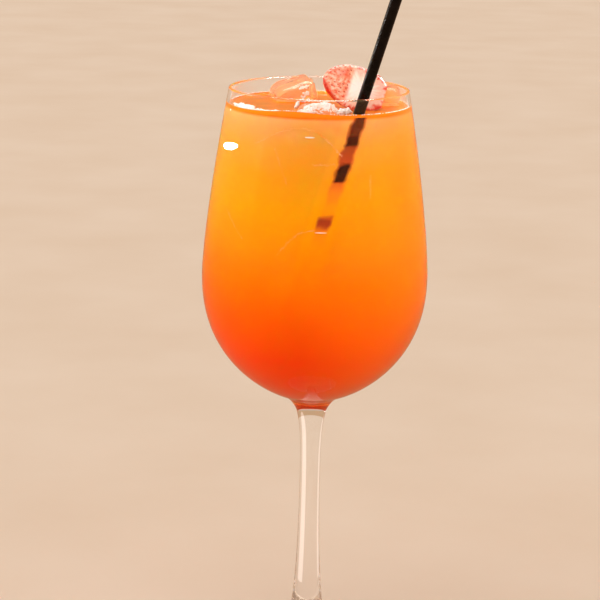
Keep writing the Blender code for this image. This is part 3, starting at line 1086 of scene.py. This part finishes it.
thin = node(tree, "Math", {0: faded, 1: slot_share}, operation="MULTIPLY")
see_in = node(tree, "Math", {0: thin, 1: straw_shows}, operation="MAXIMUM")
# Painted shade of the straw: the juice along its line turns redder.
colours = {"Factor": straw_shade, "A": juice_colour(tree), "B": STRAW_SHADE_COLOUR}
straw_shaded = node(tree, "Mix", colours, data_type="RGBA")
body = node(tree, "BsdfPrincipled", {
    "Base Color": straw_shaded, "Roughness": 0.08, "IOR": 1.33, "Specular IOR Level": 0.0,
    "Transmission Weight": see_in, "Subsurface Weight": 1.0,
    "Subsurface Radius": JUICE_SPREAD, "Subsurface Scale": JUICE_SPREAD_SCALE,
})
open_to_lamps(tree, body)
juice.data.materials.append(thin_juice)
print("heights where the straw's clearness changes:", len(STRAW_SHOWS))

# %% [markdown]
# The strawberry is cut in half lengthwise and floats with its cut face to the front and its
# tip to the left. A sphere with its poles along the berry is narrowed towards the tip and
# bisected twice: through the middle, and across the leafy end. The cut face is then
# extruded inwards ring by ring, so that it has vertices to shape.
# %% The half strawberry
BERRY_LENGTH = 26.2 * MM
BERRY_WIDTH = 18.0 * MM
BERRY_THICKNESS = 8.0 * MM
BERRY_TAPER = 0.10
BERRY_HULL_CUT = 0.44
BERRY_CENTRE = Vector((0.0141, -0.0090, 0.2377))
BERRY_FACING = Vector((0.10, -0.85, 0.50)).normalized()
BERRY_TURN = math.radians(-15.8)
BERRY_SIDES = 112
BERRY_ROWS = 76
CUT_RINGS = 34
LAST_STEP = 0.4


def berry_frame():
    """Local +X runs to the leafy end, and local +Z stands on the cut face."""
    side = Vector((1, 0, 0))
    right = (side - BERRY_FACING * side.dot(BERRY_FACING)).normalized()
    upward = BERRY_FACING.cross(right)
    leafy_way = right * math.cos(BERRY_TURN) + upward * math.sin(BERRY_TURN)
    turn = Matrix((leafy_way, BERRY_FACING.cross(leafy_way), BERRY_FACING)).transposed()
    return Matrix.Translation(BERRY_CENTRE) @ turn.to_4x4()


bpy.ops.mesh.primitive_uv_sphere_add(
    segments=BERRY_SIDES, ring_count=BERRY_ROWS, radius=1, rotation=(0, math.radians(90), 0)
)
berry = bpy.context.active_object
bpy.ops.object.transform_apply(rotation=True)
half = Vector((BERRY_LENGTH / 2, BERRY_WIDTH / 2, BERRY_THICKNESS))
for vert in berry.data.vertices:
    narrowing = 1 + BERRY_TAPER * vert.co.x
    vert.co = Vector((vert.co.x, vert.co.y * narrowing, vert.co.z * narrowing)) * half
hull_at = BERRY_HULL_CUT * BERRY_LENGTH
bpy.ops.object.mode_set(mode="EDIT")
for place_on_cut, cut_way in (((hull_at, 0, 0), (1, 0, 0)), ((0, 0, 0), (0, 0, 1))):
    bpy.ops.mesh.select_all(action="SELECT")
    bpy.ops.mesh.bisect(
        plane_co=place_on_cut, plane_no=cut_way, use_fill=True, clear_outer=True, threshold=0.0001 * MM
    )
select_faces(berry, lambda face: face.normal.z > 0.99 and face.center.z > -0.01 * MM)
for ring in range(CUT_RINGS):
    steps_left = CUT_RINGS - ring + LAST_STEP
    share = (steps_left - 1) / steps_left
    bpy.ops.mesh.extrude_region_move()
    bpy.ops.transform.resize(value=(share, share, 1.0), center_override=(0, 0, 0))
bpy.ops.mesh.poke()
bpy.ops.mesh.select_all(action="SELECT")
bpy.ops.mesh.remove_doubles(threshold=0.005 * MM)
bpy.ops.mesh.normals_make_consistent(inside=False)
bpy.ops.object.mode_set(mode="OBJECT")
print("half strawberry starts with", len(berry.data.polygons), "faces")

# %% [markdown]
# The knife didn't go straight: at the tip it left a lobe of the skin standing, which bulges
# out of the cut face. The rest of the face is slightly uneven, with low ridges that run out
# from the pale core, and its rim is rounded off.
# %% Shaping the cut face
LOBE_START = -2.0 * MM
LOBE_END = -6.0 * MM
LOBE_HEIGHT = 1.8 * MM
LOBE_MIDDLE = -5.5 * MM
LOBE_HALF = Vector((8.6 * MM, 9.6 * MM))
CORE_PLACE = Vector((2.5 * MM, 0.0))
CORE_REACH = 4 * MM
RIB_HEIGHT = 0.16 * MM
RIBS_ROUND = 5
RIM_START = 0.92
RIM_FALL = 0.4 * MM
FLESH_GRAIN = 2.2 * MM
FLESH_BUMPS = 0.14 * MM


def smooth_step(value, start, end):
    """0 before the start and 1 past the end, with a smooth passage between."""
    share = min(max((value - start) / (end - start), 0.0), 1.0)
    return share * share * (3 - 2 * share)


def lobe_height(x, y):
    """How far the skin lobe stands out of the cut face."""
    along = (x - LOBE_MIDDLE) / LOBE_HALF.x
    side = y / LOBE_HALF.y
    dome = math.sqrt(max(1 - along * along - side * side, 0.0))
    return LOBE_HEIGHT * dome * smooth_step(x, LOBE_START, LOBE_END)


def rim_share(x, y):
    """0 in the middle of the cut face and 1 on its outline."""
    along = 2 * x / BERRY_LENGTH
    width = BERRY_WIDTH / 2 * (1 + BERRY_TAPER * along)
    return min(math.hypot(along, y / width), 1.0)


cut_verts = {v for face in berry.data.polygons if face.normal.z > 0.99 for v in face.vertices}
for index in cut_verts:
    vert = berry.data.vertices[index]
    x, y = vert.co.x, vert.co.y
    from_middle = rim_share(x, y)
    spoke = Vector((x - CORE_PLACE.x, y - CORE_PLACE.y, 0.0))
    ribs = noise.noise(spoke.normalized() * RIBS_ROUND) * min(spoke.length / CORE_REACH, 1.0)
    vert.co.z += lobe_height(x, y)
    vert.co.z -= RIM_FALL * smooth_step(from_middle, RIM_START, 1.0)
    vert.co.z += RIB_HEIGHT * ribs * (1 - smooth_step(x, LOBE_START, LOBE_END))
    vert.co.z += FLESH_BUMPS * noise.noise(vert.co / FLESH_GRAIN) * (1 - from_middle)
print("cut face has", len(cut_verts), "vertices")

# %% [markdown]
# A strawberry's seeds sit in dimples. Places are drawn over the skin with a fixed seed, each
# one kept only if it is far enough from the others. The faces are sorted by place first,
# because the mesh tools leave them in an order that changes from run to run. The skin is
# pressed in at each place, and a copy of one small drop-shaped seed goes in the dimple with
# its point towards the tip. All the seeds are joined into one piece.
# %% Dimples and seeds
SEED_SPACING = 1.55 * MM
SEED_SIZE = Vector((0.95, 0.6, 0.42)) * MM
SEED_POINT = 0.45
DIMPLE_RADIUS = 0.8 * MM
DIMPLE_DEPTH = 0.2 * MM
SKIN_BELOW = -1.2 * RIM_FALL
SKIN_ON_LOBE = 0.25 * LOBE_HEIGHT
SEED_STANDS_OUT = 0.08 * MM
SEED_LEAN = (-0.15, 0.15)
SEED_SCALES = (0.8, 1.15)


def is_skin(face):
    """Everything but the cut face and the slice across the leafy end."""
    x, y, z = face.center
    on_lobe = z > -RIM_FALL and lobe_height(x, y) > SKIN_ON_LOBE
    return face.normal.x < 0.97 and (on_lobe or z < SKIN_BELOW)


draws = random.Random(11)
skin_faces = [face for face in berry.data.polygons if is_skin(face)]
skin_faces.sort(key=lambda face: [round(c / MM, 2) for c in face.center])
draws.shuffle(skin_faces)
seed_places = []
for face in skin_faces:
    spot = face.center.copy()
    if all((spot - other).length > SEED_SPACING for other, _ in seed_places):
        seed_places.append((spot, face.normal.copy()))
nearest_seed = KDTree(len(seed_places))
for index, (spot, _) in enumerate(seed_places):
    nearest_seed.insert(spot, index)
nearest_seed.balance()
for vert in berry.data.vertices:
    near = nearest_seed.find(vert.co)[2] / DIMPLE_RADIUS
    if near < 1:
        vert.co -= vert.normal * DIMPLE_DEPTH * (1 - near * near) ** 2


def small_ball(radius, shares):
    """A ball of few faces, scaled by a share along each axis."""
    bpy.ops.mesh.primitive_uv_sphere_add(segments=8, ring_count=6, radius=radius)
    edit_all()
    bpy.ops.transform.resize(value=shares)
    bpy.ops.object.mode_set(mode="OBJECT")
    return bpy.context.active_object


seed_model = small_ball(0.5, SEED_SIZE)
for vert in seed_model.data.vertices:
    pointed = 1 - SEED_POINT * smooth_step(-vert.co.x, 0.0, SEED_SIZE.x / 2)
    vert.co.y *= pointed
    vert.co.z *= pointed


def standing_on(spot, upward, forward, size=1.0):
    """A matrix that puts a model on a spot, its +Z along upward and its +X near forward."""
    side = upward.cross(forward).normalized()
    turn = Matrix((side.cross(upward), side, upward)).transposed().to_4x4()
    return Matrix.Translation(spot) @ turn @ Matrix.Scale(size, 4)


seed_matrices = []
for spot, normal in seed_places:
    sunk = spot - normal * (DIMPLE_DEPTH - SEED_STANDS_OUT)
    lean = Vector((1, draws.uniform(*SEED_LEAN), draws.uniform(*SEED_LEAN)))
    seed_matrices.append(standing_on(sunk, normal, lean, draws.uniform(*SEED_SCALES)))
seeds = placed_copies(seed_model, seed_matrices, "strawberry_seeds")
in_the_glass = berry_frame()
for piece in (berry, seeds):
    piece.data.transform(in_the_glass)
shade_round(berry, 50)
finish_piece(berry, "half_strawberry", "strawberry_half")
finish_piece(seeds, "strawberry_seeds", None)

# %% [markdown]
# Ripe flesh is wet and translucent: white in the core, with pink veins that run out to a
# narrow red rim under the skin, and the skin itself is mottled at the tip, made pale there
# by painted light. The pattern is made in the berry's own axes, which a Mapping node brings
# back from the place in the glass. The direction from the core alone, fed to a noise, makes
# the veins.
# %% Flesh colours
def berry_axes(tree, middle=(0.0, 0.0)):
    """The place in the berry's own frame, in metres, from a middle on the cut face."""
    return node(tree, "Mapping", {
        "Vector": node(tree, "TexCoord").outputs["Object"],
        "Location": in_the_glass @ Vector((*middle, 0.0)),
        "Rotation": in_the_glass.to_euler(),
    }, vector_type="TEXTURE")


FLESH_BANDS = [
    (0.00, "#FFFAF4"), (0.40, "#FFF2E9"), (0.60, "#FFE0D2"), (0.74, "#FFC4B2"),
    (0.84, "#FFD2C4"), (0.93, "#F98C74"), (1.00, "#E23A24"),
]


def flesh_colour(tree):
    """White core, pink veins that run out from it, red rim."""
    from_core = berry_axes(tree, CORE_PLACE)
    flat = node(tree, "VectorMath", {0: from_core, 1: (1.0, 1.0, 0.0)}, operation="MULTIPLY")
    way = node(tree, "VectorMath", {0: flat}, operation="NORMALIZE")
    veins = node(tree, "TexNoise", {"Vector": way, "Scale": 7.0, "Detail": 4.0})
    grain = node(tree, "TexNoise", {"Vector": flat, "Scale": 700.0, "Detail": 2.0})
    to_rim = (2 / BERRY_LENGTH, 2 / BERRY_WIDTH, 0.0)
    oval = node(tree, "VectorMath", {0: berry_axes(tree), 1: to_rim}, operation="MULTIPLY")
    out = node(tree, "VectorMath", {0: oval}, operation="LENGTH")
    swing = node(tree, "Math", {0: veins, 1: 0.8, 2: -0.42}, operation="MULTIPLY_ADD")
    speck = node(tree, "Math", {0: grain, 1: 0.25, 2: -0.12}, operation="MULTIPLY_ADD")
    bent = node(tree, "Math", {0: out, 1: swing}, operation="ADD")
    share = node(tree, "Math", {0: bent, 1: speck}, operation="ADD")
    return node(tree, "ValToRGB", {"Fac": share}, stops=FLESH_BANDS)


print("flesh bands:", len(FLESH_BANDS))

# %% [markdown]
# The skin goes from a mottled peach and pink at the tip, where the light shines into it, to
# the deep red of the underside, turned from the light. Both are painted: the pale of the
# mottling is painted light, and the deep red, laid on along a direction across the berry,
# is painted shade. One fine noise makes the mottling and a slow one the redder patch. Masks
# along the berry's own axes then put flesh and skin together.
# %% The strawberry's finish
SHADED_WAY = Vector((-0.62, -0.62, -0.48))
SHADE = {"From Min": 7.2 * MM, "From Max": 8.8 * MM}
TIP = {"From Min": -1.6 * MM, "From Max": -3.4 * MM}
UNDER_THE_RIM = {"From Min": -0.35 * MM, "From Max": -0.6 * MM}
LIT_SKIN_MOTTLE = [(0.34, "#EE6248"), (0.43, "#FF9A7A"), (0.54, "#FFB89C"), (0.68, "#FFD6C4")]


def skin_colour(tree):
    """The skin's colour, with painted light in its pale mottling and painted shade underneath, and the
    fine noise in it.
    """
    axes = berry_axes(tree)
    fine = node(tree, "TexNoise", {"Vector": axes, "Scale": 850.0, "Detail": 2.0})
    lit_mottle = node(tree, "ValToRGB", {"Fac": fine}, stops=LIT_SKIN_MOTTLE)
    slow = node(tree, "TexNoise", {"Vector": axes, "Scale": 150.0, "Detail": 1.0})
    patch = node(tree, "MapRange", {"Value": slow, "From Min": 0.48, "From Max": 0.62, "To Max": 0.75})
    warm = node(tree, "Mix", {"Factor": patch, "A": lit_mottle, "B": "#F8623C"}, data_type="RGBA")
    # Painted shade: along the shaded way the skin turns a deep red.
    shaded = node(tree, "VectorMath", {0: axes, 1: SHADED_WAY}, operation="DOT_PRODUCT")
    depth = node(tree, "MapRange", {"Value": shaded, **SHADE}, interpolation_type="SMOOTHSTEP")
    deep = node(tree, "Mix", {"Factor": depth, "A": warm, "B": "#C81A10"}, data_type="RGBA")
    return deep, fine


strawberry, tree = new_finish("ripe_strawberry")
red_skin, skin_grain = skin_colour(tree)
along, _, height = node(tree, "SeparateXYZ", {"Vector": berry_axes(tree)}).outputs
at_tip = node(tree, "MapRange", {"Value": along, **TIP}, interpolation_type="SMOOTHSTEP")
outside = node(tree, "MapRange", {"Value": height, **UNDER_THE_RIM})
is_skinned = node(tree, "Math", {0: at_tip, 1: outside}, operation="MAXIMUM")
colours = {"Factor": is_skinned, "A": flesh_colour(tree), "B": red_skin}
colour = node(tree, "Mix", colours, data_type="RGBA")
bump = node(tree, "Bump", {"Height": skin_grain, "Strength": 0.4, "Distance": 0.15 * MM})
fruit = node(tree, "BsdfPrincipled", {
    "Base Color": colour, "Roughness": 0.3, "IOR": 1.38, "Normal": bump,
    "Subsurface Weight": 0.6, "Subsurface Radius": (1.0, 0.35, 0.25), "Subsurface Scale": 1.2 * MM,
    "Coat Weight": 0.35, "Coat Roughness": 0.12,
})
node(tree, "OutputMaterial", {"Surface": fruit})
berry.data.materials.append(strawberry)

HUSK_TONES = [(0.35, "#CC4028"), (0.65, "#EC7A50")]
seed_husk = speckled_finish("strawberry_seed_husk", {"Scale": 900.0}, HUSK_TONES, {"Roughness": 0.4})
seeds.data.materials.append(seed_husk)
print("seeds:", len(seed_places))

# %% [markdown]
# Shaking leaves a white froth, and it gathers where the surface meets something: a patch
# and a thin line along the glass at the left of the front, an arc over the front cube,
# streaks between the cubes, and a chain of tiny bubbles where the juice touches the glass.
# The streaks stand where the ice's edges shine, and the chain where the meniscus shines,
# so they are partly painted highlights. One small bubble is modelled and copied along
# routes. Each copy is dropped onto the juice or the ice below it and piled up, highest in
# the middle of its band.
# %% Froth
FROTH_ROUTES = (
    # points in the plane in millimetres, half width, pile height in millimetres, bubbles
    (((-32.4, -10.0), (-30.6, -14.6), (-29.0, -17.4)), 0.4, 0.9, 70),
    (((-29.6, -16.8), (-27.6, -19.6), (-24.6, -22.8)), 1.1, 1.7, 190),
    (((-25.4, -22.4), (-23.0, -24.3), (-19.0, -27.5), (-15.0, -30.0)), 0.35, 0.8, 120),
    (((-15.0, -30.0), (-11.0, -31.6), (-9.0, -31.8)), 0.3, 0.3, 40),
    (((-7.4, -29.6), (-5.6, -28.2), (-2.5, -27.4), (1.0, -27.0), (4.5, -26.8)), 2.0, 1.5, 460),
    (((4.5, -26.8), (7.5, -25.5), (9.6, -23.2), (11.4, -20.4)), 1.3, 1.6, 230),
    # The next two routes are white froth put where the ice's edges shine: painted highlights.
    (((-8.2, 2.6), (-8.4, -4.0), (-8.8, -11.5)), 0.5, 0.7, 80),
    (((-7.6, 4.2), (-6.0, 4.6), (-4.0, 5.4)), 0.6, 1.0, 60),
)
BUBBLE_SIZES = (0.5, 1.25)
EDGE_SHRINK = 0.4
BUBBLE_LIFT = 0.3
RING_SIZES = (0.28, 0.5)
RING_IN = 0.45
RING_UP = 0.1
RING_PARTS = (
    # from and to, in degrees round from the right, and bubbles
    (-62, -8, 110),
    (-150, -118, 60),
    (110, 172, 90),
    (-118, -62, 40),
    (-8, 110, 60),
)
DROP_FROM = GLASS_HEIGHT + 10 * MM
DOWN = Vector((0, 0, -1))

bubble_model = small_ball(0.5 * MM, (1.0, 1.0, 0.82))
below_trees = [search_tree(juice)] + ice_trees
draws = random.Random(23)
bubble_matrices = []


def add_bubble(spot, size):
    """Notes one more bubble, turned at random."""
    turn = Matrix.Rotation(draws.uniform(0, math.tau), 4, "Z")
    bubble_matrices.append(Matrix.Translation(spot) @ turn @ Matrix.Scale(size, 4))


for points, half_width, pile, count in FROTH_ROUTES:
    for _ in range(count):
        along = draws.uniform(0, len(points) - 1.001)
        start, end = Vector(points[int(along)]), Vector(points[int(along) + 1])
        aside = draws.uniform(-1, 1)
        flat = start.lerp(end, along % 1) + (end - start).orthogonal().normalized() * aside * half_width
        above = Vector((flat.x * MM, flat.y * MM, DROP_FROM))
        drops = [below.ray_cast(above, DOWN)[0] for below in below_trees]
        ground = max(drop.z for drop in drops if drop)
        size = draws.uniform(*BUBBLE_SIZES) * (1 - EDGE_SHRINK * abs(aside))
        lift = (BUBBLE_LIFT * size + draws.uniform(0, pile) * (1 - aside * aside)) * MM
        add_bubble(Vector((above.x, above.y, ground + lift)), size)

# The chain of tiny bubbles along the glass is partly a painted highlight of the meniscus.
for first, last, count in RING_PARTS:
    for _ in range(count):
        angle = math.radians(draws.uniform(first, last))
        size = draws.uniform(*RING_SIZES)
        radius = wetted[0].x - INTO_WALL - RING_IN * size * MM
        height = wetted[0].y + gap_rise(math.cos(angle), math.sin(angle)) + RING_UP * size * MM
        add_bubble(Vector((radius * math.cos(angle), radius * math.sin(angle), height)), size)

# %% [markdown] Air pockets that stand in for glints
# Three flat white beads between ice and glass, shaped as pockets of air, stand where the
# ice catches glints: painted highlights. They are copies of the froth's bubble, stretched
# along the wall.
# %% Air pockets
GLINT_BEADS = (
    # along and up the front of the glass in millimetres, and their width, depth and height
    ((-3.3, 222.1), (3.8, 0.5, 0.75)),
    ((1.6, 186.9), (4.6, 0.4, 0.45)),
    ((-33.4, 228.4), (1.2, 0.5, 1.0)),
)
TURN_RADIUS = 40


def on_the_wall(x, height, sizes):
    """A matrix that puts a model at the front where the juice meets the glass."""
    radius = rings_below(wall_inside, height * MM)[0].x
    spot = Vector((x * MM, -math.sqrt(radius**2 - (x * MM) ** 2), height * MM))
    turn = Matrix.Rotation(math.atan2(x, TURN_RADIUS), 4, "Z")
    return Matrix.Translation(spot) @ turn @ Matrix.Diagonal((*sizes, 1))


bubble_matrices += [on_the_wall(x, height, sizes) for (x, height), sizes in GLINT_BEADS]
bead_model = bubble_model.copy()
bead_model.data = bubble_model.data.copy()
froth = placed_copies(bubble_model, bubble_matrices, "froth")
finish_piece(froth, "froth", None)
print("bubbles:", len(bubble_matrices))

# %% [markdown]
# Each bubble is a film of juice round air, and many films together scatter all light, so
# froth is white, with a trace of peach where the juice shines through. It is a white,
# matt body, and the gaps between bubbles stay bright because they light each other.
# %% Froth finish
FROTH_GRAIN = {"Scale": 420.0, "Detail": 2.0}
FROTH_TONES = [(0.35, "#FFF6F0"), (0.6, "#FFFFFF")]
FROTH_BODY = {"Roughness": 0.5, "IOR": 1.33}

foam = speckled_finish("fruit_juice_froth", FROTH_GRAIN, FROTH_TONES, FROTH_BODY)
froth.data.materials.append(foam)
print("finish of the froth:", foam.name)

# %% [markdown]
# Where sunk ice touches the glass, pale lines run along its edges through the juice: the
# arch of a large cube's top, its side, a crack across it, and the top of the cube below.
# They are painted highlights for the light that these edges catch, drawn as chains of fine
# bubbles: a flattened bead is copied along each line.
# %% Lines along the sunk ice
ICE_LINES = (
    # points along and up the front of the glass in millimetres, and bead size in millimetres
    (((-23.2, 218.4), (-18.7, 221.4), (-14.2, 223.6), (-9.5, 225.0), (-6.0, 225.4)), 0.34),
    (((-6.0, 225.4), (-2.6, 224.9), (0.1, 223.6), (3.4, 221.0), (6.2, 218.0), (8.9, 215.1)), 0.42),
    (((-16.3, 217.8), (-14.0, 211.0), (-11.5, 204.1)), 0.26),
    (((-1.9, 212.0), (6.4, 212.2)), 0.28),
    (((-14.7, 177.6), (-10.5, 183.0), (-6.6, 186.5), (-0.6, 187.9)), 0.28),
    (((-33.7, 190.9), (-31.0, 186.0), (-27.9, 181.8)), 0.26),
    (((19.7, 207.9), (19.8, 203.0), (20.0, 198.6)), 0.34),
)
BEAD_STEP = 0.16
BEAD_SCATTER = 0.2
BEAD_SIZES = (0.4, 1.1)
BEAD_FLATNESS = 0.4

bead_matrices = []
for points, size in ICE_LINES:
    for start, end in zip(points, points[1:]):
        start, end = Vector(start), Vector(end)
        for step in range(int((end - start).length / BEAD_STEP)):
            spot = start.lerp(end, step * BEAD_STEP / (end - start).length)
            spot += Vector((draws.gauss(0, BEAD_SCATTER), draws.gauss(0, BEAD_SCATTER)))
            big = size * draws.uniform(*BEAD_SIZES)
            bead_matrices.append(on_the_wall(spot.x, spot.y, (big, big * BEAD_FLATNESS, big)))
ice_lines = placed_copies(bead_model, bead_matrices, "ice_lines")
finish_piece(ice_lines, "lines_along_the_ice", None)
print("beads:", len(bead_matrices))

# %% [markdown]
# The beads' colour is a painted highlight: lighter than the juice and not white, for the
# light that the ice's edges catch under the juice.
# %% Finish of the lines
LINE_GRAIN = {"Scale": 260.0, "Detail": 1.0}
HIGHLIGHT_LINE_TONES = [(0.38, "#FFB040"), (0.62, "#FFCE88")]
LINE_BODY = {"Roughness": 0.4, "IOR": 1.33}

pale_highlight_beads = speckled_finish("beads_painted_as_edge_highlights", LINE_GRAIN, HIGHLIGHT_LINE_TONES, LINE_BODY)
ice_lines.data.materials.append(pale_highlight_beads)
print("finish of the lines:", pale_highlight_beads.name)
